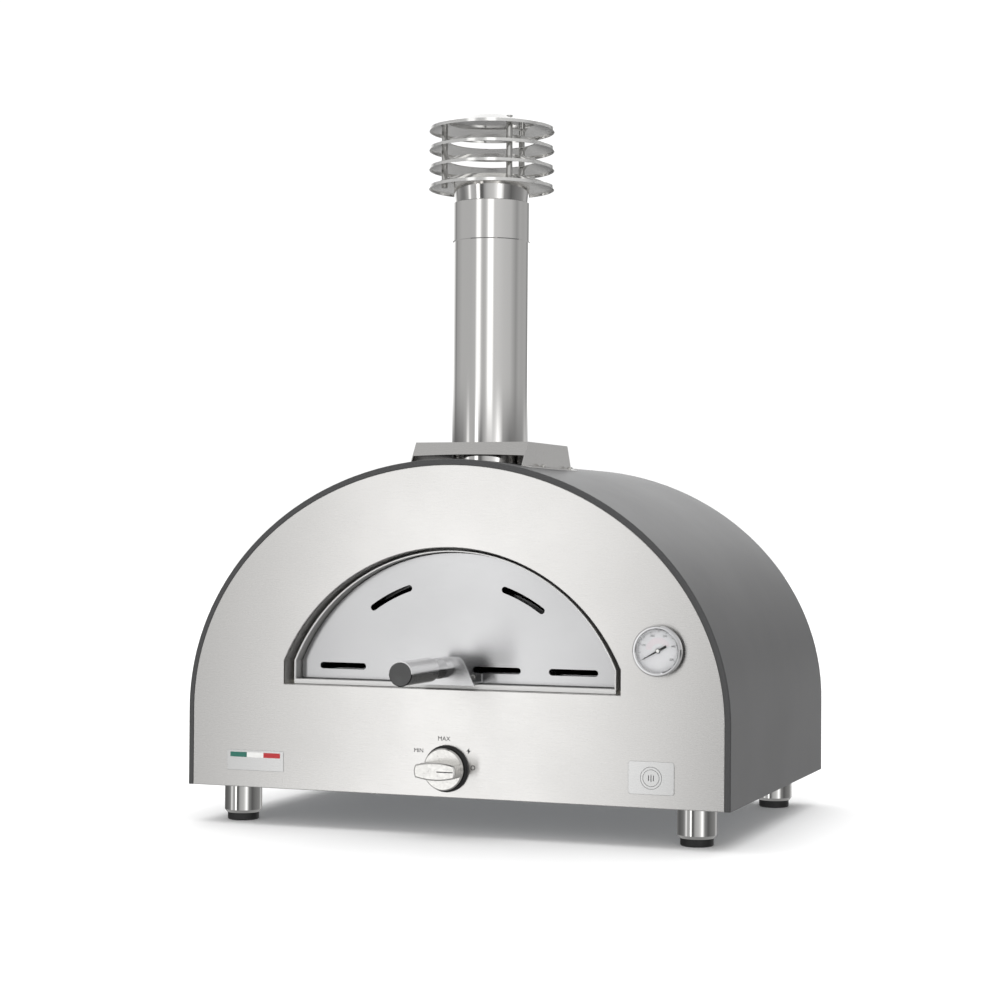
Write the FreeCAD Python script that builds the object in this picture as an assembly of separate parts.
import FreeCAD, Part
import math
import os

# Countertop gas pizza oven. Millimetres, +Z up, +Y to the rear, +X to the right seen from the front.
# Everything is drawn from one corner of its own: X = 0 is the middle plane, Y = 0 the face of the
# front panel and Z = 0 the underside of the body. save() then moves each piece to the stand's frame,
# whose origin is on the floor under the middle of the whole oven.

V = FreeCAD.Vector

# ---------------------------------------------------------------- driving dimensions
SHEET = 1.5                      # casing, panels and chamber walls
THIN_SHEET = 1.2                 # covers and mouth liner
FIT = 0.3                        # gap left between pieces that only sit beside each other

FOOT_HEIGHT = 50.0
BODY_DEPTH = 530.0
HANDLE_REACH = 154.0
INLET_REACH = 30.0
FRONT_Y = -(BODY_DEPTH + INLET_REACH - HANDLE_REACH) / 2

# front panel outline: straight sides, half-ellipse on top
PANEL_HALF = 365.0
PANEL_SPRING = 103.0
PANEL_RISE = 323.0
CASING_BAND = 7.5                # the casing shows this wide all round the panel
CASING_HALF = PANEL_HALF + CASING_BAND
CASING_RISE = PANEL_RISE + CASING_BAND
CASING_ROUND = 3.0               # rounding of the casing's front and rear edges
CASING_FOOT_X = 350.0            # the casing's foot flanges reach in to here
EDGE_FLANGE = 22.0               # turned-back edge of the front and rear panels
LIP_DEPTH = 12.0                 # return lip inside the casing's end flanges
SCREW_R = 2.0
SCREW_HEAD_R = 4.0
SCREW_HEAD_RISE = 2.2
SCREW_LENGTH = 10.0
SCREW_INSET = 18.0               # from the rear panel's edge to its ring of screws
LOWER_SCREW_X = 105.0            # two more hold the front panel's lower flange to the base plate
LOWER_SCREW_Y = 10.0
VENT_COLUMNS = 8
REAR_VENT_PITCH = 70.0
REAR_VENT_ROWS = (30.0, 48.0)
REAR_VENT_LENGTH = 48.0
VENT_WIDTH = 6.0
BASE_VENT_PITCH = 62.0
BASE_VENT_ROWS = (150.0, 205.0, 260.0, 315.0, 370.0)
BASE_VENT_LENGTH = 42.0

# mouth in the front panel: short jambs and a circular arch
MOUTH_HALF = 232.0
MOUTH_SILL = 138.0
MOUTH_SPRING = 168.0
MOUTH_TOP = 319.5
MOUTH_FLANGE = 29.5

# inner mouth, door and door stop follow one arch centre
ARCH_CENTRE = 74.7
LINER_ARCH_R = 239.5
LINER_HALF = 220.5
LINER_FRONT = 11.5
HEARTH = 144.5                   # level of the cooking floor and of the threshold
STOP_STEP = 14.0                 # the chamber's front wall stands this far inside the liner
DOOR_GAP = 0.8
DOOR_FACE = 30.0
DOOR_DEPTH = 27.5
DOOR_BOTTOM = HEARTH + 0.2
DOOR_SLOT_Z = 162.2
DOOR_SLOT_WIDTH = 8.5
DOOR_SLOT_LENGTH = 66.0
DOOR_SLOTS_X = (-160.0, -56.0, 56.0, 160.0)
DOOR_SLOT_TURNS = (19.2, 35.2)   # degrees from upright to each end of an upper slot
DOOR_SLOT_ARC_R = 202.2          # the two upper slots follow this arc about the arch centre

# cooking chamber
CHAMBER_FRONT = 58.0
CHAMBER_DEPTH = 420.0
CHAMBER_REAR = CHAMBER_FRONT + SHEET + CHAMBER_DEPTH
CHAMBER_HALF = 300.0
CHAMBER_SPRING = 200.0
CHAMBER_RISE = 165.0
TRAY_TOP = 82.0
TRAY_FRONT = 28.0
TRAY_REAR = 505.0
TRAY_LEG_FRONT = 100.0
TRAY_LEG_REAR = 440.0
TRAY_LEG_FOOT = 16.0
TRAY_LEGS_X = (330.0, 110.0)
TILE_THICK = 30.0
TILE_BED = HEARTH - 0.5 - TILE_THICK
BURNER_X = -270.0
BURNER_R = 15.0
BURNER_Z = 140.0
BURNER_FRONT = 95.0
BURNER_REAR = 455.0
GUARD_X = -240.0
GUARD_TOP = 178.0
GUARD_FOOT = 14.0
GUARD_HOLES = 17
GUARD_HOLE_PITCH = 20.0
GUARD_HOLE_R = 4.0
GUARD_HOLE_DROP = 16.0           # from the guard's top edge to its row of holes
BURNER_PORTS = 26
PORT_PITCH = 12.5
PORT_R = 1.5
RISER_Y = BURNER_FRONT + 20      # the mixing tube stands here
INJECTOR_SEAT = 60.0
INJECTOR_R = 5.0
SENSOR_Y = BURNER_FRONT - 12
SENSOR_OFFSET = 14.0

# flue
FLUE_Y = 148.0
FLUE_R = 50.75
FLUE_WALL = 1.0
FLUE_BOTTOM = 392.0
BELL_BOTTOM = 729.5
BELL_SLOPE = 0.5                 # half the height of the step up to the bell
FLUE_TOP = 781.0
COLLAR_R = 49.45
COLLAR_BOTTOM = 340.0
COLLAR_TOP = 436.0
COLLAR_FLANGE_R = 68.0
COVER_HALF = 79.0
COVER_FRONT = 80.0
COVER_REAR = 240.0
COVER_TOP = 458.0
COVER_FOOT = 420.0
COVER_FLARE_BASE = 426.0         # level where the flare of the cover's ends is given
COVER_FLARE_FRONT = 22.0
COVER_FLARE_REAR = 17.0
COVER_FLANGE = 11.0
COVER_SCREW_Y = (125.0, 235.0)
COVER_SCREW_OUT = 5.5
COWL_PITCH = 26.0
COWL_FIRST = 803.4
COWL_RINGS = 4
COWL_OUTER_R = 84.2
COWL_INNER_R = 58.5
COWL_RING_RISE = 9.6
COWL_TOP = 892.0
COWL_SHEET = 1.2
COWL_HEM = 4.0                   # folded outer edge of each ring
COWL_ROD_CIRCLE = 64.5
COWL_ROD_R = 4.2
COWL_ROD_ANGLES = (71.5, 191.5, 311.5)

# ceramic fibre
BLANKET_HALF = 369.0
BLANKET_DROP = 3.5               # room between the blanket and the casing's crown
BLANKET_GAP = 1.7                # room between the blanket and the vault
BOARD_HALF = 361.0
BOARD_DROP = 4.0
REAR_BOARD_END = 505.0

# two plates on the front: left, right, bottom, top, thickness and corner radius
RIGHT_PLATE = (242.5, 301.8, 17.0, 58.0, 1.4, 4.0)
LEFT_PLATE = (-314.0, -231.0, 22.0, 49.0, 0.9, 1.5)

# controls and instruments
KNOB_Z = 37.0
BEZEL_R = 30.0
KNOB_DISC_R = 27.0
KNOB_BAR_DEPTH = 28.0
THERMO_X = 281.8
THERMO_Z = 195.0
THERMO_R = 31.5
THERMO_REACH = 14.0
NEEDLE_ANGLE = 209.0             # the needle's rest mark, counterclockwise from +X
NEEDLE_TIP = 23.0
NEEDLE_TAIL = 12.0

# door handle
GRIP_Z = 167.0
GRIP_R = 15.5
NECK_R = 9.5
GRIP_REAR = -66.0                # the grip's straight part ends here
NECK_Y = -55.0
COLLAR_FRONT = -33.0             # behind the neck the grip widens again to a collar
GRIP_COLLAR_R = 13.5
BRACKET_FACE = -13.0
BRACKET_SHEET = 2.0
BRACKET_TOP = 181.0
BRACKET_HALF_TOP = 24.0
BRACKET_HALF_FOOT = 42.0
RIVET_X = 24.0
RIVET_Z = 152.5
HANDLE_BOLT_R = 4.0

# feet
FOOT_X = 316.5
FOOT_FRONT = 53.0
FOOT_REAR = 470.0
SLEEVE_R = 25.0
SLEEVE_HEIGHT = 40.0
SLEEVE_BEVEL = 4.0
PAD_R = 21.0
SHANK_R = 5.0

# gas train
INLET_X = 70.0
GAS_Z = 37.0
PIPE_Y = 45.0
INLET_R = 10.48                  # G1/2 thread outside radius
VALVE_FRONT = 12.0
PORT_X = 32.0                    # the valve's pipe sockets end here on both sides
SPINDLE_R = 3.95
SPINDLE_FRONT = -9.0
SPINDLE_REAR = 20.0
LEAD_X = -52.0                   # the igniter's lead leaves its socket here
LEAD_Y = 28.0
LEAD_Z = 64.0

TO_STAND = V(0, FRONT_Y, FOOT_HEIGHT)


# ---------------------------------------------------------------- helpers
def save(name, *solids):
    shape = solids[0] if len(solids) == 1 else Part.makeCompound(list(solids))
    shape = shape.copy()
    shape.translate(TO_STAND)
    shape.exportStep("parts/" + name + ".step")


def box(x0, x1, y0, y1, z0, z1):
    return Part.makeBox(x1 - x0, y1 - y0, z1 - z0, V(x0, y0, z0))


def rod_x(y, z, radius, x0, x1):
    return Part.makeCylinder(radius, x1 - x0, V(x0, y, z), V(1, 0, 0))


def rod_y(x, z, radius, y0, y1):
    return Part.makeCylinder(radius, y1 - y0, V(x, y0, z), V(0, 1, 0))


def rod_z(x, y, radius, z0, z1):
    return Part.makeCylinder(radius, z1 - z0, V(x, y, z0), V(0, 0, 1))


def tube_z(x, y, outer, inner, z0, z1):
    return rod_z(x, y, outer, z0, z1).cut(rod_z(x, y, inner, z0, z1))


def polygon(points):
    """Closed wire through flat (across, height) points."""
    corners = [V(a, b, 0) for a, b in points]
    return Part.makePolygon(corners + corners[:1])


def dome(half, foot, spring, rise):
    """Closed wire: flat foot, straight sides up to the spring line, half-ellipse above."""
    curve = Part.ArcOfEllipse(Part.Ellipse(V(0, spring, 0), half, rise), 0, math.pi)
    left = V(-half, foot, 0)
    right = V(half, foot, 0)
    edges = [
        curve.toShape(),
        Part.makeLine(V(-half, spring, 0), left),
        Part.makeLine(left, right),
        Part.makeLine(right, V(half, spring, 0)),
    ]
    return Part.Wire(Part.__sortEdges__(edges))


def arch(half, foot, spring, top):
    """Closed wire: flat foot, short jambs and a circular arch through the top point."""
    left = V(-half, foot, 0)
    right = V(half, foot, 0)
    springs = (V(half, spring, 0), V(-half, spring, 0))
    edges = [
        Part.Arc(springs[0], V(0, top, 0), springs[1]).toShape(),
        Part.makeLine(springs[1], left),
        Part.makeLine(left, right),
        Part.makeLine(right, springs[0]),
    ]
    return Part.Wire(Part.__sortEdges__(edges))


def inner_arch(inset, foot):
    """Arch of the mouth liner, moved in by inset on the sides and the top."""
    radius = LINER_ARCH_R - inset
    half = LINER_HALF - inset
    spring = ARCH_CENTRE + math.sqrt(radius ** 2 - half ** 2)
    return arch(half, foot, spring, ARCH_CENTRE + radius)


def along_y(wire, y0, y1):
    """Solid of a flat (across, height) wire standing upright and running from y0 to y1."""
    face = Part.Face(wire)
    face.rotate(V(0, 0, 0), V(1, 0, 0), 90)
    face.translate(V(0, y0, 0))
    return face.extrude(V(0, y1 - y0, 0))


def along_x(points, x0, x1):
    """Solid of a flat (y, height) outline running from x0 to x1."""
    corners = [V(x0, a, b) for a, b in points]
    face = Part.Face(Part.makePolygon(corners + corners[:1]))
    return face.extrude(V(x1 - x0, 0, 0))


def turned_z(points, x, y):
    """Solid turned about a vertical axis from (radius, height) points."""
    corners = [V(r, 0, z) for r, z in points]
    face = Part.Face(Part.makePolygon(corners + corners[:1]))
    solid = face.revolve(V(0, 0, 0), V(0, 0, 1), 360)
    solid.translate(V(x, y, 0))
    return solid


def turned_y(points, x, z):
    """Solid turned about an axis that runs front to back, from (radius, y) points."""
    corners = [V(r, y, 0) for r, y in points]
    face = Part.Face(Part.makePolygon(corners + corners[:1]))
    solid = face.revolve(V(0, 0, 0), V(0, 1, 0), 360)
    solid.translate(V(x, 0, z))
    return solid


def bent_pipe(points, bend, outer, inner=0.0):
    """Pipe along straight runs joined by tangent arcs of one bend radius."""
    corners = [V(*p) for p in points]
    edges = []
    start = corners[0]
    for before, corner, after in zip(corners, corners[1:], corners[2:]):
        into = (corner - before).normalize()
        away = (after - corner).normalize()
        reach = bend * math.tan(into.getAngle(away) / 2)
        first = corner - into * reach
        last = corner + away * reach
        middle = (away - into).normalize()
        turn_centre = corner + middle * (bend / math.cos(into.getAngle(away) / 2))
        on_arc = turn_centre - middle * bend
        edges.append(Part.makeLine(start, first))
        edges.append(Part.Arc(first, on_arc, last).toShape())
        start = last
    edges.append(Part.makeLine(start, corners[-1]))
    path = Part.Wire(edges)
    run = corners[1] - corners[0]

    def swept(radius):
        ring = Part.Wire(Part.makeCircle(radius, corners[0], run))
        return path.makePipeShell([ring], True, False)

    pipe = swept(outer)
    return pipe.cut(swept(inner)) if inner else pipe


def hex_prism(x, y, z0, z1, across):
    """Upright hexagon bar with the given width across its flats."""
    radius = across / math.sqrt(3)
    corners = [V(x + radius * math.cos(math.radians(60 * k)),
                 y + radius * math.sin(math.radians(60 * k)), z0) for k in range(6)]
    face = Part.Face(Part.makePolygon(corners + corners[:1]))
    return face.extrude(V(0, 0, z1 - z0))


def edges_at_y(shape, y, keep=lambda edge: True):
    """Edges of a shape that lie wholly in the plane at y."""
    return [e for e in shape.Edges
            if abs(e.BoundBox.YMin - y) < 1e-3 and abs(e.BoundBox.YMax - y) < 1e-3 and keep(e)]


def slot_x(x, z, length, width, y0, y1):
    """Round-ended slot lying along X, cut from y0 to y1."""
    flat = (length - width) / 2
    middle = box(x - flat, x + flat, y0, y1, z - width / 2, z + width / 2)
    ends = [rod_y(x + side * flat, z, width / 2, y0, y1) for side in (-1, 1)]
    return middle.fuse(ends)


# ---------------------------------------------------------------- casing and panels
def casing():
    outside = along_y(dome(CASING_HALF, 0, PANEL_SPRING, CASING_RISE), 0, BODY_DEPTH)
    above_foot = lambda edge: edge.BoundBox.ZMax > 1
    ends = edges_at_y(outside, 0, above_foot) + edges_at_y(outside, BODY_DEPTH, above_foot)
    outside = outside.makeFillet(CASING_ROUND, ends)
    hollow = along_y(dome(CASING_HALF - SHEET, -1, PANEL_SPRING, CASING_RISE - SHEET),
                     SHEET, BODY_DEPTH - SHEET)
    window = along_y(dome(PANEL_HALF + 0.2, -1, PANEL_SPRING, PANEL_RISE + 0.2), -1, BODY_DEPTH + 1)
    shell = outside.cut(hollow).cut(window)
    lip = along_y(dome(PANEL_HALF + 0.2 + SHEET, -1, PANEL_SPRING, PANEL_RISE + 0.2 + SHEET),
                  SHEET, LIP_DEPTH).cut(window)
    lip = lip.common(box(-400, 400, 0, BODY_DEPTH, 0, 500))
    rear_lip = lip.copy()
    rear_lip.translate(V(0, BODY_DEPTH - SHEET - LIP_DEPTH, 0))
    shell = shell.fuse([lip, rear_lip])
    for side in (-1, 1):
        inner, outer = sorted((side * (CASING_HALF - SHEET), side * CASING_FOOT_X))
        gap = EDGE_FLANGE + 3
        shell = shell.fuse(box(inner, outer, gap, BODY_DEPTH - gap, 0, SHEET))
    shell = shell.cut(rod_z(0, FLUE_Y, FLUE_R + 2.5, 400, 450))
    shell = shell.cut(cover_screw_holes(1.6))
    save("casing", shell.removeSplitter())


def panel_blank(half, rise):
    """Dished panel: face at Y = 0 with its whole edge turned back."""
    face = along_y(dome(half, 0, PANEL_SPRING, rise), 0, SHEET)
    rim = along_y(dome(half, 0, PANEL_SPRING, rise), SHEET, EDGE_FLANGE)
    well = along_y(dome(half - SHEET, SHEET, PANEL_SPRING, rise - SHEET), SHEET, EDGE_FLANGE)
    return face, rim.cut(well)


def front_panel():
    face, rim = panel_blank(PANEL_HALF, PANEL_RISE)
    mouth = along_y(arch(MOUTH_HALF, MOUTH_SILL, MOUTH_SPRING, MOUTH_TOP), -1, MOUTH_FLANGE + 1)
    collar = along_y(arch(MOUTH_HALF + SHEET, MOUTH_SILL - SHEET, MOUTH_SPRING, MOUTH_TOP + SHEET),
                     SHEET, MOUTH_FLANGE)
    panel = face.fuse([rim, collar]).cut(mouth)
    panel = panel.cut(rod_y(0, KNOB_Z, 7.0, -1, 3))
    panel = panel.cut(rod_y(THERMO_X, THERMO_Z, 6.3, -1, 3))
    for x, y in lower_screw_places():
        panel = panel.cut(rod_z(x, y, SCREW_R + 0.1, -1, SHEET + 1))
    save("front_panel", panel.makeFillet(1.0, edges_at_y(panel, 0, lambda e: e.Length > 50)))


def vent_columns(pitch):
    return [(column - (VENT_COLUMNS - 1) / 2) * pitch for column in range(VENT_COLUMNS)]


def rear_panel():
    face, rim = panel_blank(PANEL_HALF, PANEL_RISE)
    panel = face.fuse(rim)
    panel.rotate(V(0, 0, 0), V(0, 0, 1), 180)
    panel.translate(V(0, BODY_DEPTH, 0))
    panel = panel.cut(rod_y(INLET_X, GAS_Z, 9.0, BODY_DEPTH - 5, BODY_DEPTH + 1))
    for z in REAR_VENT_ROWS:
        for x in vent_columns(REAR_VENT_PITCH):
            if abs(x - INLET_X) > REAR_VENT_LENGTH:
                panel = panel.cut(slot_x(x, z, REAR_VENT_LENGTH, VENT_WIDTH, BODY_DEPTH - 5, BODY_DEPTH + 1))
    for x, z in rear_screw_places():
        panel = panel.cut(rod_y(x, z, SCREW_R + 0.1, BODY_DEPTH - 5, BODY_DEPTH + 1))
    save("rear_panel", panel)


def rear_screw_places():
    """Screws in a ring just inside the rear panel's edge."""
    ring = [(k - 4) * 22.0 for k in range(9)]
    half = PANEL_HALF - SCREW_INSET
    rise = PANEL_RISE - SCREW_INSET
    turns = [math.radians(a) for a in ring]
    places = [(half * math.sin(a), PANEL_SPRING + rise * math.cos(a)) for a in turns]
    return places + [(side * half, 15.0) for side in (-1, 1)]


def screw():
    """Cross-head screw lying along Y, its seat at the origin and its head to the rear."""
    arm = 2.2
    half = 0.5
    body = turned_y([(0, SCREW_HEAD_RISE), (arm, SCREW_HEAD_RISE - 0.2), (SCREW_HEAD_R, 0.6),
                     (SCREW_HEAD_R, 0), (SCREW_R, 0), (SCREW_R, 1 - SCREW_LENGTH),
                     (0, -SCREW_LENGTH)], 0, 0)
    slot = box(-arm, arm, 1, 3, -half, half)
    cross = box(-half, half, 1, 3, -arm, arm)
    return body.cut(slot).cut(cross)


def lower_screw_places():
    return [(side * LOWER_SCREW_X, LOWER_SCREW_Y) for side in (-1, 1)]


def panel_screws():
    screws = []
    for x, z in rear_screw_places():
        one = screw()
        one.translate(V(x, BODY_DEPTH, z))
        screws.append(one)
    for x, y in lower_screw_places():
        one = screw()
        one.rotate(V(0, 0, 0), V(1, 0, 0), -90)
        one.translate(V(x, y, 0))
        screws.append(one)
    save("panel_screws", *screws)


def base_plate():
    half = PANEL_HALF - 3
    plate = box(-half, half, 2, BODY_DEPTH - 2, SHEET, 2 * SHEET)
    for x, y in foot_places():
        plate = plate.cut(rod_z(x, y, 4.5, 0, 5))
    for x, y in lower_screw_places():
        plate = plate.cut(rod_z(x, y, SCREW_R + 0.1, 0, 5))
    slot_r = VENT_WIDTH / 2
    slot_half = BASE_VENT_LENGTH / 2 - slot_r
    for y in BASE_VENT_ROWS:
        for x in vent_columns(BASE_VENT_PITCH):
            flat = box(x - slot_half, x + slot_half, y - slot_r, y + slot_r, 0, 5)
            ends = [rod_z(x + side * slot_half, y, slot_r, 0, 5) for side in (-1, 1)]
            plate = plate.cut(flat.fuse(ends))
    save("base_plate", plate)


# ---------------------------------------------------------------- mouth and cooking chamber
def mouth_liner():
    rear = CHAMBER_FRONT
    outside = along_y(inner_arch(-SHEET, HEARTH - SHEET), LINER_FRONT, rear)
    inside = along_y(inner_arch(0, HEARTH), LINER_FRONT, rear)
    threshold = box(-LINER_HALF - SHEET, LINER_HALF + SHEET, LINER_FRONT, LINER_FRONT + SHEET,
                    MOUTH_SILL + 0.6, HEARTH)
    save("mouth_liner", outside.cut(inside).fuse(threshold.cut(inside)).removeSplitter())


def chamber_outline(grow):
    return dome(CHAMBER_HALF + grow, TRAY_TOP, CHAMBER_SPRING, CHAMBER_RISE + grow)


def chamber_front_wall():
    wall = along_y(chamber_outline(SHEET), CHAMBER_FRONT, CHAMBER_FRONT + SHEET)
    wall = wall.cut(along_y(inner_arch(STOP_STEP, HEARTH), 0, 100))
    save("chamber_front_wall", wall.cut(rod_y(THERMO_X, THERMO_Z, 3.3, 0, 100)))


def chamber_vault():
    front = CHAMBER_FRONT + SHEET
    vault = along_y(chamber_outline(SHEET), front, CHAMBER_REAR)
    vault = vault.cut(along_y(dome(CHAMBER_HALF, 0, CHAMBER_SPRING, CHAMBER_RISE), front, CHAMBER_REAR))
    save("chamber_vault", vault.cut(rod_z(0, FLUE_Y, COLLAR_R - THIN_SHEET, 300, 400)))


def chamber_rear_wall():
    save("chamber_rear_wall", along_y(chamber_outline(SHEET), CHAMBER_REAR, CHAMBER_REAR + SHEET))


def floor_tray():
    half = PANEL_HALF + 1
    top = box(-half, half, TRAY_FRONT, TRAY_REAR, TRAY_TOP - SHEET, TRAY_TOP)
    for radius, x, y in floor_passages():
        top = top.cut(rod_z(x, y, radius, TRAY_TOP - 2 * SHEET, TRAY_TOP + SHEET))
    for side in (-1, 1):
        for place in TRAY_LEGS_X:
            x0, x1 = sorted((side * place, side * (place - SHEET)))
            f0, f1 = sorted((side * place, side * (place - TRAY_LEG_FOOT)))
            top = top.fuse([box(x0, x1, TRAY_LEG_FRONT, TRAY_LEG_REAR, 2 * SHEET, TRAY_TOP - SHEET),
                            box(f0, f1, TRAY_LEG_FRONT, TRAY_LEG_REAR, 2 * SHEET, 3 * SHEET)])
    save("floor_tray", top.cut(leg_windows()).removeSplitter())


def leg_windows():
    """Openings through both left legs of the tray, for air and pipes."""
    outer, inner = TRAY_LEGS_X
    return box(-outer - 5, -inner + 20, TRAY_LEG_FRONT + 30, TRAY_LEG_REAR - 30, 15, TRAY_TOP - 12)


def floor_passages():
    """Radius, x and y of the holes that the burner's fittings pass through."""
    return ((12.5, BURNER_X, RISER_Y), (4.0, BURNER_X - SENSOR_OFFSET, SENSOR_Y),
            (4.0, BURNER_X + SENSOR_OFFSET, SENSOR_Y))


def floor_insulation():
    half = CHAMBER_HALF - 1
    board = box(-half, half, CHAMBER_FRONT + SHEET + 0.5, CHAMBER_REAR - 0.5, TRAY_TOP, TILE_BED)
    for radius, x, y in floor_passages():
        board = board.cut(rod_z(x, y, radius, TRAY_TOP - 1, TILE_BED + 1))
    save("floor_insulation", board)


def hearth_tiles():
    left = GUARD_X + SHEET + 0.5
    right = CHAMBER_HALF - 1
    middle = (left + right) / 2
    tiles = []
    for x0, x1 in ((left, middle - 0.5), (middle + 0.5, right)):
        tile = box(x0, x1, CHAMBER_FRONT + SHEET + 1, CHAMBER_REAR - 1, TILE_BED, TILE_BED + TILE_THICK)
        upper = [e for e in tile.Edges if e.BoundBox.ZMin > TILE_BED + TILE_THICK - 0.01]
        tiles.append(tile.makeChamfer(2.0, upper))
    save("hearth_tiles", *tiles)


def fibre_board(y0, y1):
    return along_y(dome(BOARD_HALF, TRAY_TOP, PANEL_SPRING, PANEL_RISE - BOARD_DROP), y0, y1)


def insulation():
    grow = SHEET + BLANKET_GAP
    blanket = along_y(dome(BLANKET_HALF, TRAY_TOP, PANEL_SPRING, CASING_RISE - BLANKET_DROP),
                      CHAMBER_FRONT + SHEET, CHAMBER_REAR)
    core = along_y(dome(CHAMBER_HALF + grow, 0, CHAMBER_SPRING, CHAMBER_RISE + grow), 0, BODY_DEPTH)
    blanket = blanket.cut(core).cut(rod_z(0, FLUE_Y, FLUE_R + 3, 300, 460))
    blanket = blanket.cut(cover_screw_holes(2.0))
    save("insulation_blanket", *blanket.Solids)
    front = fibre_board(MOUTH_FLANGE + 1.5, CHAMBER_FRONT)
    front = front.cut(along_y(inner_arch(-12.5, HEARTH - 3), 0, 100))
    save("front_insulation", front.cut(rod_y(THERMO_X, THERMO_Z, 10.5, 0, 100)))
    save("rear_insulation", fibre_board(CHAMBER_REAR + SHEET, REAR_BOARD_END))


# ---------------------------------------------------------------- burner and gas train
def burner():
    tube = rod_y(BURNER_X, BURNER_Z, BURNER_R, BURNER_FRONT, BURNER_REAR)
    bore = rod_y(BURNER_X, BURNER_Z, BURNER_R - SHEET, BURNER_FRONT + SHEET, BURNER_REAR - SHEET)
    tube = tube.cut(bore).cut(rod_z(BURNER_X, RISER_Y, 10, BURNER_Z - 20, BURNER_Z))
    for k in range(BURNER_PORTS):
        y = RISER_Y + 2 + PORT_PITCH * k
        slanted = V(1, 0, 1.2)
        tube = tube.cut(Part.makeCylinder(PORT_R, BURNER_R + 2, V(BURNER_X, y, BURNER_Z), slanted))
    save("burner_tube", tube)
    flame_guard()
    mixing_tube()


def flame_guard():
    front = BURNER_FRONT + 5
    guard = box(GUARD_X - GUARD_FOOT, GUARD_X, front, BURNER_REAR, TILE_BED, TILE_BED + SHEET)
    guard = guard.fuse(box(GUARD_X, GUARD_X + SHEET, front, BURNER_REAR, TILE_BED, GUARD_TOP))
    for y in (BURNER_FRONT + 60, BURNER_REAR - 50):
        cradle = box(BURNER_X - 12, GUARD_X, y, y + SHEET, TILE_BED, BURNER_Z - 6)
        guard = guard.fuse(cradle.cut(rod_y(BURNER_X, BURNER_Z, BURNER_R, y - 1, y + 3)))
    for k in range(GUARD_HOLES):
        y = front + GUARD_HOLE_PITCH * (k + 1)
        guard = guard.cut(rod_x(y, GUARD_TOP - GUARD_HOLE_DROP, GUARD_HOLE_R, GUARD_X - 2, GUARD_X + 4))
    save("flame_guard", guard.removeSplitter())


def mixing_tube():
    outer = 11.5
    inner = 8.5
    funnel_top = TRAY_TOP + 2
    throat_top = BURNER_Z - 16
    mixer = turned_z([(outer - 1.5, 72), (outer + 2, 72), (outer + 2, 74), (outer, 80), (outer, throat_top),
                      (inner, throat_top), (inner, funnel_top), (outer, 74), (outer - 1.5, 74)],
                     BURNER_X, RISER_Y)
    riser = tube_z(BURNER_X, RISER_Y, outer, inner, throat_top, BURNER_Z)
    riser = riser.cut(rod_y(BURNER_X, BURNER_Z, BURNER_R, 0, 300))
    front = RISER_Y - 6
    rear = RISER_Y + 6
    cage = [box(BURNER_X + side * 12 - 1, BURNER_X + side * 12 + 1, front, rear, INJECTOR_SEAT, 75)
            for side in (-1, 1)]
    shelf = box(BURNER_X - 13, BURNER_X + 13, front, rear, INJECTOR_SEAT, INJECTOR_SEAT + 1.5)
    cage.append(shelf.cut(rod_z(BURNER_X, RISER_Y, INJECTOR_R, 50, 70)))
    mixer = mixer.fuse(cage).cut(rod_z(BURNER_X, RISER_Y, inner, INJECTOR_SEAT + 2, 90))
    save("mixing_tube", mixer.fuse(riser).removeSplitter())


def injector():
    jet = 0.6
    foot = INJECTOR_SEAT - 10
    tip_top = INJECTOR_SEAT + 10
    nut = hex_prism(BURNER_X, RISER_Y, foot, INJECTOR_SEAT, 15)
    tip = turned_z([(jet, INJECTOR_SEAT), (INJECTOR_R, INJECTOR_SEAT), (INJECTOR_R, tip_top - 4),
                    (2.5, tip_top), (jet, tip_top)], BURNER_X, RISER_Y)
    inlet = rod_z(BURNER_X, RISER_Y, 3, foot - 1, INJECTOR_SEAT - 2)
    nozzle = rod_z(BURNER_X, RISER_Y, jet, INJECTOR_SEAT - 2, INJECTOR_SEAT + 1)
    save("injector", nut.cut(inlet).cut(nozzle).fuse(tip).removeSplitter())


def gas_valve():
    half = 15.0
    rear = VALVE_FRONT + 46
    body = box(-half - 2, half + 2, VALVE_FRONT, rear, KNOB_Z - half, KNOB_Z + half)
    body = body.makeFillet(4, [e for e in body.Edges if e.BoundBox.YLength > 40])
    body = body.fuse(rod_y(0, KNOB_Z, 11, 2 * SHEET, VALVE_FRONT))
    for side in (-1, 1):
        body = body.fuse(rod_x(PIPE_Y, GAS_Z, 8, *sorted((side * 16, side * PORT_X))))
        body = body.cut(rod_x(PIPE_Y, GAS_Z, 3.5, *sorted((side * 20, side * (PORT_X + 1)))))
    body = body.cut(rod_y(0, KNOB_Z, SPINDLE_R + 0.05, 2, SPINDLE_REAR - 1))
    body = body.cut(rod_y(0, KNOB_Z, 6.2, SPINDLE_REAR - 2, SPINDLE_REAR + 16))
    magnet = rod_y(0, KNOB_Z + 8, 5, rear, rear + 16)
    save("gas_valve", body.fuse(magnet).removeSplitter())

    plate = box(-36, 36, SHEET, 2 * SHEET, 14, 62)
    save("valve_bracket", plate.cut(rod_y(0, KNOB_Z, 7, 0, 5)))

    spindle = rod_y(0, KNOB_Z, SPINDLE_R, SPINDLE_FRONT, SPINDLE_REAR - 0.2)
    flat = box(-6, 6, SPINDLE_FRONT - 1, -1, KNOB_Z + 2.6, KNOB_Z + 8)
    save("valve_spindle", spindle.cut(flat))
    seat = SPINDLE_REAR + 0.1
    head_rear = SPINDLE_REAR + 4
    tip = SPINDLE_REAR + 11
    save("valve_push_rod", turned_y([(0, seat), (6.14, seat), (6.14, head_rear), (2.5, head_rear),
                                     (2.5, tip), (0, tip)], 0, KNOB_Z))
    spark_igniter()


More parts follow.
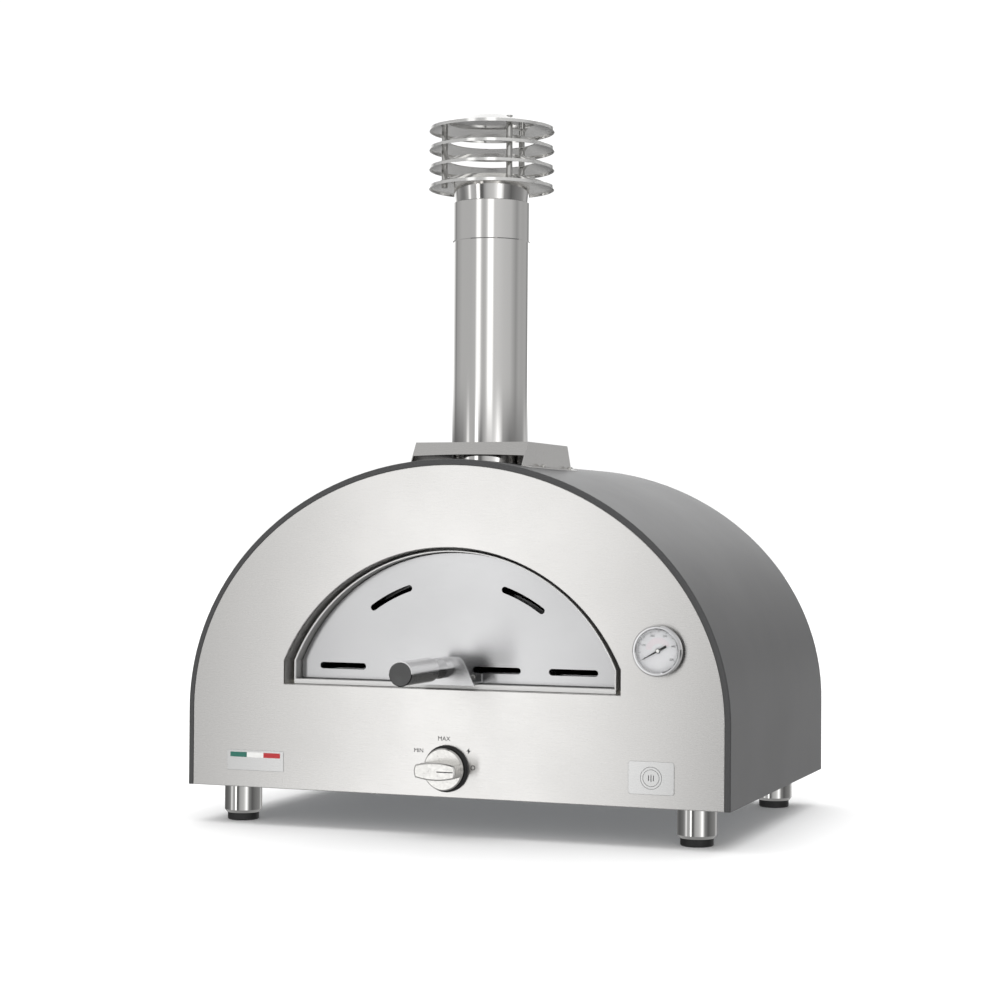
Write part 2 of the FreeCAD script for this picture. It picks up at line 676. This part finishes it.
def spark_igniter():
    """Piezo block beside the valve, struck by the knob, on an arm from the valve's bracket."""
    block = box(-40, -22, 22, 34, 52, 74)
    nozzle = rod_x(LEAD_Y, LEAD_Z, 3, LEAD_X, -40)
    arm = box(-36, -26, 2 * SHEET, 22, 54, 60)
    save("spark_igniter", block.fuse([nozzle, arm]).removeSplitter())


def gas_pipes():
    supply_rear = 500.0
    supply = bent_pipe([(PORT_X, PIPE_Y, GAS_Z), (INLET_X, PIPE_Y, GAS_Z), (INLET_X, supply_rear, GAS_Z)],
                       25, 5, 4)
    save("supply_pipe", supply)
    feed = bent_pipe([(-PORT_X, PIPE_Y, GAS_Z), (BURNER_X, PIPE_Y, GAS_Z), (BURNER_X, RISER_Y, GAS_Z - 8),
                      (BURNER_X, RISER_Y, INJECTOR_SEAT - 10)], 11, 4, 3)
    save("feed_pipe", feed)

    bore = 6.5
    barrel = 8.7
    washer_rear = BODY_DEPTH + 4
    rear = BODY_DEPTH + INLET_REACH
    stub = turned_y([(bore, supply_rear), (barrel, supply_rear), (barrel, washer_rear),
                     (INLET_R, washer_rear), (INLET_R, rear - 1), (INLET_R - 1, rear), (bore, rear)],
                    INLET_X, GAS_Z)
    washer = turned_y([(barrel + 0.1, BODY_DEPTH), (15, BODY_DEPTH), (15, washer_rear),
                       (barrel + 0.1, washer_rear)], INLET_X, GAS_Z)
    shoulder = turned_y([(5, supply_rear - 6), (barrel, supply_rear - 6), (barrel, supply_rear),
                         (5, supply_rear)], INLET_X, GAS_Z)
    save("gas_inlet", stub.fuse([shoulder, washer]).removeSplitter())


def flame_sensors():
    y = SENSOR_Y
    cold = BURNER_X - SENSOR_OFFSET
    hot = BURNER_X + SENSOR_OFFSET
    base = 60.0
    leads = (
        ("thermocouple", cold, 1.5, [(cold, y, base), (cold, y, 45), (0, y, 45), (0, 74, 45)]),
        ("ignition_electrode", hot, 1.6, [(hot, y, base), (hot, y, 50), (hot, LEAD_Y, 50), (-72, LEAD_Y, 50),
                                          (-72, LEAD_Y, LEAD_Z), (LEAD_X, LEAD_Y, LEAD_Z)]))
    for name, x, lead_radius, route in leads:
        stem = turned_z([(0, base), (3.5, base), (3.5, 108), (3.0, 108), (3.0, 148), (1.6, 150), (1.6, 162),
                         (0, 163)], x, y)
        save(name, stem.fuse(bent_pipe(route, 4, lead_radius)).removeSplitter())


# ---------------------------------------------------------------- flue and cowl
def flue_collar():
    tube = tube_z(0, FLUE_Y, COLLAR_R, COLLAR_R - THIN_SHEET, COLLAR_BOTTOM, COLLAR_TOP)
    inside = along_y(dome(CHAMBER_HALF + SHEET, 0, CHAMBER_SPRING, CHAMBER_RISE + SHEET), 0, 500)
    flange = tube_z(0, FLUE_Y, COLLAR_FLANGE_R, COLLAR_R - THIN_SHEET, COLLAR_BOTTOM, COLLAR_BOTTOM + 40)
    skin = along_y(dome(CHAMBER_HALF + SHEET + 1.5, 0, CHAMBER_SPRING, CHAMBER_RISE + SHEET + 1.5), 0, 500)
    save("flue_collar", tube.cut(inside).fuse(flange.common(skin).cut(inside)).removeSplitter())


def cover_screw_places():
    return [(side * (COVER_HALF + COVER_SCREW_OUT), y) for side in (-1, 1) for y in COVER_SCREW_Y]


def cover_screw_holes(radius):
    return Part.makeCompound([rod_z(x, y, radius, 400, 450) for x, y in cover_screw_places()])


def roof_height(x, grow):
    half = CASING_HALF + grow
    return PANEL_SPRING + (CASING_RISE + grow) * math.sqrt(1 - (x / half) ** 2)


def flue_cover():
    front_run = COVER_FLARE_FRONT / (COVER_TOP - COVER_FLARE_BASE)
    rear_run = COVER_FLARE_REAR / (COVER_TOP - COVER_FLARE_BASE)

    def hood(inset, bottom):
        top = COVER_TOP - inset
        drop = COVER_TOP - bottom
        front_top = COVER_FRONT + inset * 0.75
        rear_top = COVER_REAR - inset * 0.75
        outline = [(front_top - front_run * drop, bottom), (front_top, top), (rear_top, top),
                   (rear_top + rear_run * drop, bottom)]
        return along_x(outline, -COVER_HALF + inset, COVER_HALF - inset)

    roof = along_y(dome(CASING_HALF, 0, PANEL_SPRING, CASING_RISE), 0, BODY_DEPTH)
    flange_skin = along_y(dome(CASING_HALF + THIN_SHEET, 0, PANEL_SPRING, CASING_RISE + THIN_SHEET),
                          0, BODY_DEPTH).cut(roof)
    vent = along_y(dome(2 * CASING_HALF, 0, PANEL_SPRING, CASING_RISE + 8), 0, BODY_DEPTH)
    vent = vent.common(box(-COVER_HALF + THIN_SHEET, COVER_HALF - THIN_SHEET, 0, BODY_DEPTH, 400, 460))
    shell = hood(0, COVER_FOOT).cut(hood(THIN_SHEET, COVER_FOOT - 1)).cut(roof).cut(vent)
    for side in (-1, 1):
        inner, outer = sorted((side * COVER_HALF, side * (COVER_HALF + COVER_FLANGE)))
        strip = flange_skin.common(box(inner, outer, COVER_FRONT - 16, COVER_REAR + 11, 400, 460))
        shell = shell.fuse(strip)
    shell = shell.cut(rod_z(0, FLUE_Y, FLUE_R + 1, 440, 470)).cut(cover_screw_holes(2.1))
    save("flue_cover", shell.removeSplitter())


def cover_screws():
    screws = []
    for x, y in cover_screw_places():
        seat = roof_height(x, THIN_SHEET)
        screws.append(turned_z([(0, seat - 9), (1.5, seat - 8), (1.5, seat + 0.9), (4.2, seat + 0.9),
                                (4.2, seat + 1.8), (2.6, seat + 3.4), (0, seat + 3.9)], x, y))
    save("cover_screws", *screws)


def flue_pipe():
    outer = FLUE_R
    inner = FLUE_R - FLUE_WALL
    bell = FLUE_R + FLUE_WALL
    step_low = BELL_BOTTOM - BELL_SLOPE
    step_high = BELL_BOTTOM + BELL_SLOPE
    lift = FLUE_WALL * (math.sqrt(2) - 1)
    save("flue_pipe", turned_z([(inner, FLUE_BOTTOM), (outer, FLUE_BOTTOM), (outer, step_low),
                                (bell, step_high), (bell, FLUE_TOP), (outer, FLUE_TOP),
                                (outer, step_high + lift), (inner, step_low + lift)], 0, FLUE_Y))


def cowl_rod_places():
    turns = [math.radians(a) for a in COWL_ROD_ANGLES]
    return [(COWL_ROD_CIRCLE * math.cos(a), FLUE_Y + COWL_ROD_CIRCLE * math.sin(a)) for a in turns]


def cowl_level(k):
    """Height of the outer edge of ring k, counted from the lowest."""
    return COWL_FIRST + COWL_PITCH * k


def cowl():
    spigot = FLUE_R - FIT
    neck = 49.3
    mouth = 52.0
    wall = FLUE_WALL
    seat = COWL_FIRST + COWL_RING_RISE
    rim = COWL_INNER_R - 0.1
    save("cowl_collar", turned_z([
        (spigot - wall, BELL_BOTTOM + 6), (spigot, BELL_BOTTOM + 6), (spigot, FLUE_TOP - 2),
        (neck, FLUE_TOP + 1), (mouth, seat - 3), (mouth, seat), (rim, seat), (rim, seat + wall),
        (mouth - wall, seat + wall), (mouth - wall, seat - 3), (neck - wall, FLUE_TOP + 0.6),
        (spigot - wall, FLUE_TOP - 2.4)], 0, FLUE_Y))

    holes = [rod_z(x, y, COWL_ROD_R, BELL_BOTTOM, COWL_TOP - 2) for x, y in cowl_rod_places()]
    hem_r = COWL_OUTER_R - COWL_SHEET
    rings = []
    for k in range(COWL_RINGS - 1):
        low = cowl_level(k)
        high = low + COWL_RING_RISE
        ring = turned_z([(COWL_OUTER_R, low + COWL_SHEET - COWL_HEM), (COWL_OUTER_R, low + COWL_SHEET),
                         (COWL_INNER_R, high + COWL_SHEET), (COWL_INNER_R, high), (hem_r, low + 0.2),
                         (hem_r, low + COWL_SHEET - COWL_HEM)], 0, FLUE_Y)
        rings.append(ring.cut(Part.makeCompound(holes)))
    save("cowl_rings", *rings)

    low = cowl_level(COWL_RINGS - 1)
    lid = turned_z([(0, COWL_TOP - COWL_SHEET), (COWL_INNER_R, COWL_TOP - COWL_SHEET), (hem_r, low + 0.2),
                    (hem_r, low + COWL_SHEET - COWL_HEM), (COWL_OUTER_R, low + COWL_SHEET - COWL_HEM),
                    (COWL_OUTER_R, low + COWL_SHEET), (COWL_INNER_R, COWL_TOP), (0, COWL_TOP)], 0, FLUE_Y)
    save("cowl_cap", lid.cut(Part.makeCompound(holes)))
    save("cowl_rods", *[rod_z(x, y, COWL_ROD_R, COWL_FIRST + 1, COWL_TOP - 2) for x, y in cowl_rod_places()])


# ---------------------------------------------------------------- door and handle
def door_slots(y0, y1):
    slots = [slot_x(x, DOOR_SLOT_Z, DOOR_SLOT_LENGTH, DOOR_SLOT_WIDTH, y0, y1) for x in DOOR_SLOTS_X]
    middle = DOOR_SLOT_ARC_R
    half_width = DOOR_SLOT_WIDTH / 2
    for side in (-1, 1):
        ends = []
        for angle in DOOR_SLOT_TURNS:
            turn = math.radians(90 - side * angle)
            ends.append(turn)
            slots.append(rod_y(middle * math.cos(turn), ARCH_CENTRE + middle * math.sin(turn),
                               half_width, y0, y1))
        first, last = sorted(ends)
        corner = lambda r, a: V(r * math.cos(a), ARCH_CENTRE + r * math.sin(a), 0)
        inner = middle - half_width
        outer = middle + half_width
        halfway = (first + last) / 2
        band = Part.Wire([
            Part.Arc(corner(outer, first), corner(outer, halfway), corner(outer, last)).toShape(),
            Part.makeLine(corner(outer, last), corner(inner, last)),
            Part.Arc(corner(inner, last), corner(inner, halfway), corner(inner, first)).toShape(),
            Part.makeLine(corner(inner, first), corner(outer, first)),
        ])
        slots.append(along_y(band, y0, y1))
    return slots


def door_panels():
    rear = DOOR_FACE + DOOR_DEPTH
    slots = door_slots(DOOR_FACE - 1, rear + 5)
    face = along_y(inner_arch(DOOR_GAP, DOOR_BOTTOM), DOOR_FACE, rear)
    well = along_y(inner_arch(DOOR_GAP + SHEET, DOOR_BOTTOM + SHEET), DOOR_FACE + SHEET, rear)
    shell = face.cut(well)
    shell = shell.makeFillet(1.2, edges_at_y(shell, DOOR_FACE))
    save("door_panel", shell.cut(Part.makeCompound(slots)))
    back = along_y(inner_arch(DOOR_GAP + SHEET + FIT, DOOR_BOTTOM + SHEET + FIT), rear - SHEET, rear)
    rim = along_y(inner_arch(DOOR_GAP + SHEET + FIT, DOOR_BOTTOM + SHEET + FIT), rear - 12, rear - SHEET)
    rim = rim.cut(along_y(inner_arch(DOOR_GAP + 2 * SHEET + FIT, DOOR_BOTTOM + 2 * SHEET + FIT),
                          rear - 13, rear))
    save("door_inner_panel", back.fuse(rim).cut(Part.makeCompound(slots)).removeSplitter())


def handle():
    rear = BRACKET_FACE + BRACKET_SHEET
    outline = [(-BRACKET_HALF_FOOT, DOOR_BOTTOM), (BRACKET_HALF_FOOT, DOOR_BOTTOM),
               (BRACKET_HALF_TOP, BRACKET_TOP), (-BRACKET_HALF_TOP, BRACKET_TOP)]
    plate = along_y(polygon(outline), BRACKET_FACE, rear)
    upper = [e for e in plate.Edges
             if e.BoundBox.YLength > BRACKET_SHEET - 0.1 and e.BoundBox.ZMin > BRACKET_TOP - 1]
    plate = plate.makeFillet(9, upper)
    plate = plate.cut(rod_y(0, GRIP_Z, HANDLE_BOLT_R + 0.1, BRACKET_FACE - 1, rear + 1))
    shelf_half = BRACKET_HALF_FOOT - 6
    shelf_foot = HEARTH + 1.2
    shelf_top = shelf_foot + BRACKET_SHEET
    shelf = box(-shelf_half, shelf_half, rear, DOOR_FACE, shelf_foot, shelf_top)
    tab = box(-shelf_half, shelf_half, DOOR_FACE - BRACKET_SHEET, DOOR_FACE, shelf_top, RIVET_Z + 4.5)
    rivet_places = [(side * RIVET_X, RIVET_Z) for side in (-1, 1)]
    tab = tab.cut(Part.makeCompound([rod_y(x, z, 2.0, 0, 40) for x, z in rivet_places]))
    save("handle_bracket", plate.fuse([shelf, tab]).removeSplitter())

    head = DOOR_FACE - BRACKET_SHEET
    save("handle_rivets", *[
        turned_y([(0, head - 2), (2.4, head - 1.6), (3.6, head), (1.95, head), (1.95, DOOR_FACE),
                  (0, DOOR_FACE)], x, z) for x, z in rivet_places])

    front = -HANDLE_REACH
    bore_end = -70.0
    save("handle_grip", turned_y([
        (0, front), (GRIP_R - 1, front), (GRIP_R, front + 1), (GRIP_R, GRIP_REAR),
        (NECK_R, NECK_Y), (NECK_R, NECK_Y + 3), (GRIP_COLLAR_R, COLLAR_FRONT),
        (GRIP_COLLAR_R, BRACKET_FACE), (HANDLE_BOLT_R + 0.05, BRACKET_FACE),
        (HANDLE_BOLT_R + 0.05, bore_end), (0, bore_end)], 0, GRIP_Z))

    head_top = rear + 5
    bolt = turned_y([(0, bore_end + 4), (HANDLE_BOLT_R, bore_end + 5), (HANDLE_BOLT_R, rear),
                     (6.5, rear), (6.5, head_top), (0, head_top)], 0, GRIP_Z)
    save("handle_bolt", bolt.cut(rod_y(0, GRIP_Z, 3.0, rear + 2, head_top + 1)))


# ---------------------------------------------------------------- knob and thermometer
def knob():
    rim = BEZEL_R - 3
    save("knob_bezel", turned_y([(rim - 3, 0), (BEZEL_R, 0), (BEZEL_R, -3), (BEZEL_R - 1.5, -5.5),
                                 (rim, -6), (rim - 3, -4), (9, -4), (9, -2.5), (9, 0)], 0, KNOB_Z))

    disc_rear = -10.5
    disc_front = -14.5
    disc = turned_y([(0, disc_front), (KNOB_DISC_R - 1.5, disc_front), (KNOB_DISC_R, disc_front + 1.5),
                     (KNOB_DISC_R, disc_rear), (0, disc_rear)], 0, KNOB_Z)
    hub_rear = -7.2
    hub = rod_y(0, KNOB_Z, 7.5, disc_rear - 0.5, hub_rear)

    bar_half = 26.5
    bar_end = 28.5
    bar_waist = 11.5
    bar_tip = 8.0
    corners = [(bar_half, bar_tip), (0, bar_waist), (-bar_half, bar_tip),
               (-bar_half, -bar_tip), (0, -bar_waist), (bar_half, -bar_tip)]
    points = [V(x, 0, KNOB_Z + z) for x, z in corners]
    outline = Part.Wire([
        Part.Arc(points[0], points[1], points[2]).toShape(),
        Part.Arc(points[2], V(-bar_end, 0, KNOB_Z), points[3]).toShape(),
        Part.Arc(points[3], points[4], points[5]).toShape(),
        Part.Arc(points[5], V(bar_end, 0, KNOB_Z), points[0]).toShape(),
    ])
    bar = Part.Face(outline).extrude(V(0, -KNOB_BAR_DEPTH, 0))
    bar.translate(V(0, disc_front + 0.1, 0))
    bar_front = disc_front + 0.1 - KNOB_BAR_DEPTH
    bar = bar.makeFillet(2.2, edges_at_y(bar, bar_front))
    body = disc.fuse([bar, hub])
    socket = rod_y(0, KNOB_Z, SPINDLE_R + 0.05, -20, -7)
    groove_half = 0.7
    pointer_groove = box(3, 25, bar_front - 1, bar_front + 0.8, KNOB_Z - groove_half, KNOB_Z + groove_half)
    save("knob", body.cut(socket).cut(pointer_groove).removeSplitter())


def thermometer():
    front = -THERMO_REACH
    x = THERMO_X
    z = THERMO_Z
    can = THERMO_R - 1.2
    wall = 1.2
    glass_r = THERMO_R - 4.7
    stem_r = 6.0
    probe_r = 3.0
    case = turned_y([(0, 0), (can - 0.8, 0), (can, -1), (can, -9), (can - wall, -9),
                     (can - wall, -2), (0, -2)], x, z)
    case = case.fuse(rod_y(x, z, stem_r, 0, 16)).cut(rod_y(x, z, probe_r + 0.05, -3, 17))
    save("thermometer_case", case.removeSplitter())
    save("thermometer_bezel", turned_y([
        (THERMO_R, -7), (can + 0.1, -7), (can + 0.1, -11.2), (glass_r + 0.1, -11.2),
        (glass_r + 0.1, front + 1.2), (THERMO_R - 3.4, front), (THERMO_R - 1.6, front),
        (THERMO_R, front + 2)], x, z))
    save("thermometer_lens", turned_y([(0, -12.6), (glass_r, -12.2), (glass_r, -10.9), (0, -11.3)], x, z))
    dial_r = can - wall - 0.2
    save("thermometer_dial", turned_y([(1.3, -5.6), (dial_r, -5.6), (dial_r, -5.0), (dial_r - 0.6, -2.0),
                                       (dial_r - 1.6, -2.0), (dial_r - 1.0, -4.8), (1.3, -4.8)], x, z))

    hub = turned_y([(0, -8.6), (2.6, -8.4), (3.0, -7.8), (3.0, -6.6), (1.2, -6.6), (1.2, -3.2), (0, -3.2)],
                   x, z)
    tail = NEEDLE_TAIL
    tip = NEEDLE_TIP
    outline = [(-tail, -1.5), (-tail, 1.5), (0, 1.3), (tip, 0.25), (tip, -0.25), (0, -1.3)]
    pointer = Part.Face(polygon(outline))
    pointer.rotate(V(0, 0, 0), V(0, 0, 1), NEEDLE_ANGLE)
    pointer.rotate(V(0, 0, 0), V(1, 0, 0), 90)
    pointer.translate(V(x, -7.6, z))
    save("thermometer_needle", hub.fuse(pointer.extrude(V(0, 0.7, 0))).removeSplitter())
    save("thermometer_nut", turned_y([(stem_r + 0.1, SHEET), (10, SHEET), (10, SHEET + 6),
                                      (stem_r + 0.1, SHEET + 6)], x, z))
    save("thermometer_probe", rod_y(x, z, probe_r, 0, 120))


# ---------------------------------------------------------------- badges and feet
def badge(name, x0, x1, z0, z1, thick, corner):
    plate = box(x0, x1, -thick, 0, z0, z1)
    uprights = [e for e in plate.Edges if e.BoundBox.YLength > thick / 2]
    plate = plate.makeFillet(corner, uprights)
    save(name, plate.makeChamfer(0.4, edges_at_y(plate, -thick)))


def foot_places():
    return [(side * FOOT_X, y) for y in (FOOT_FRONT, FOOT_REAR) for side in (-1, 1)]


def feet():
    bolts = []
    sleeves = []
    for k, (x, y) in enumerate(foot_places(), 1):
        low = -SLEEVE_HEIGHT
        inner = SLEEVE_R - SHEET
        sleeves.append(turned_z([
            (4.1, 0), (SLEEVE_R, 0), (SLEEVE_R, low + SLEEVE_BEVEL), (inner - 1.5, low), (inner - 2, low),
            (inner - 2, low + 2), (inner, low + SLEEVE_BEVEL + 1), (inner, -22), (SHANK_R + 0.06, -22),
            (SHANK_R + 0.06, -17), (inner, -17), (inner, -3), (4.1, -3)], x, y))
        save("foot_pad_%d" % k, turned_z([(0, -FOOT_HEIGHT), (PAD_R - 1.5, -FOOT_HEIGHT),
                                          (PAD_R, 1.5 - FOOT_HEIGHT), (PAD_R, low - FIT),
                                          (SHANK_R, low - FIT), (SHANK_R, -9), (SHANK_R - 1, -8),
                                          (0, -8)], x, y))
        top = 2 * SHEET
        stem = rod_z(x, y, 4.0, -5, top)
        bolts.append(stem.fuse(hex_prism(x, y, top, top + 5.3, 13)).removeSplitter())
    save("foot_sleeves", *sleeves)
    save("foot_bolts", *bolts)


def main():
    os.makedirs("parts", exist_ok=True)
    casing()
    front_panel()
    rear_panel()
    panel_screws()
    base_plate()
    mouth_liner()
    chamber_front_wall()
    chamber_vault()
    chamber_rear_wall()
    floor_tray()
    floor_insulation()
    hearth_tiles()
    insulation()
    burner()
    injector()
    gas_valve()
    gas_pipes()
    flame_sensors()
    flue_collar()
    flue_cover()
    cover_screws()
    flue_pipe()
    cowl()
    door_panels()
    handle()
    knob()
    thermometer()
    badge("badge_right", *RIGHT_PLATE)
    badge("badge_left", *LEFT_PLATE)
    feet()


main()
